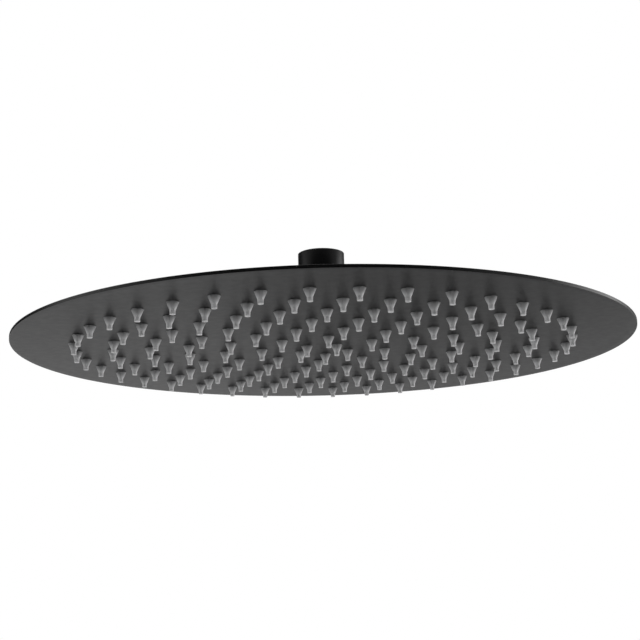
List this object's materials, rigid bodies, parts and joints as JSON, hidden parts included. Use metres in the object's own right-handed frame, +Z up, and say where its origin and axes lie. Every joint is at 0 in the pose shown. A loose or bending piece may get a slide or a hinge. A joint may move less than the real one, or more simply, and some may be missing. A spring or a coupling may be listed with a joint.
{
  "type": "rain shower head",
  "caption": "Thin round rain shower head in satin black: two welded sheets, a crowned face of silicone nozzles in concentric rings, and a ball connector that tilts and spins.",
  "frame": {"origin": "centre of the inlet's mouth, on the thread's axis at the collar's top face", "axes": "+Z up along the inlet thread, out of its mouth; -Y towards the viewer of the picture"},
  "size_m": [0.3, 0.3, 0.0539],
  "materials": {
    "black_sheet": "satin black coating on thin stainless sheet",
    "black_fitting": "satin black coating on a turned fitting",
    "white_polymer": "smooth low-friction bearing plastic",
    "black_rubber": "matt",
    "steel_mesh": "fine woven screen",
    "grey_silicone": "soft moulded silicone"
  },
  "bodies": {
    "inlet": {"ball_connector": "black_fitting", "filter_screen": "steel_mesh", "inlet_washer": "black_rubber"},
    "seat": {"lower_seat": "white_polymer"},
    "ring": {"friction_ring": "white_polymer"},
    "head": {"face_plate": "black_sheet", "back_plate": "black_sheet", "hub": "black_fitting", "ball_nut": "black_fitting", "nozzle_ring_1": "grey_silicone", "nozzle_ring_2": "grey_silicone", "nozzle_ring_3": "grey_silicone", "nozzle_ring_4": "grey_silicone", "nozzle_ring_5": "grey_silicone", "nozzle_ring_6": "grey_silicone", "nozzle_ring_7": "grey_silicone"}
  },
  "joints": [
    {"name": "tilt_front", "type": "hinge", "parent": "inlet", "child": "seat", "pos_m": [0, 0, -0.02643], "axis": [1, 0, 0], "range_deg": [-12, 12]},
    {"name": "tilt_side", "type": "hinge", "parent": "seat", "child": "ring", "pos_m": [0, 0, -0.02643], "axis": [0, 1, 0], "range_deg": [-12, 12]},
    {"name": "spin", "type": "hinge", "parent": "ring", "child": "head", "pos_m": [0, 0, -0.02643], "axis": [0, 0, 1], "continuous": true}
  ]
}
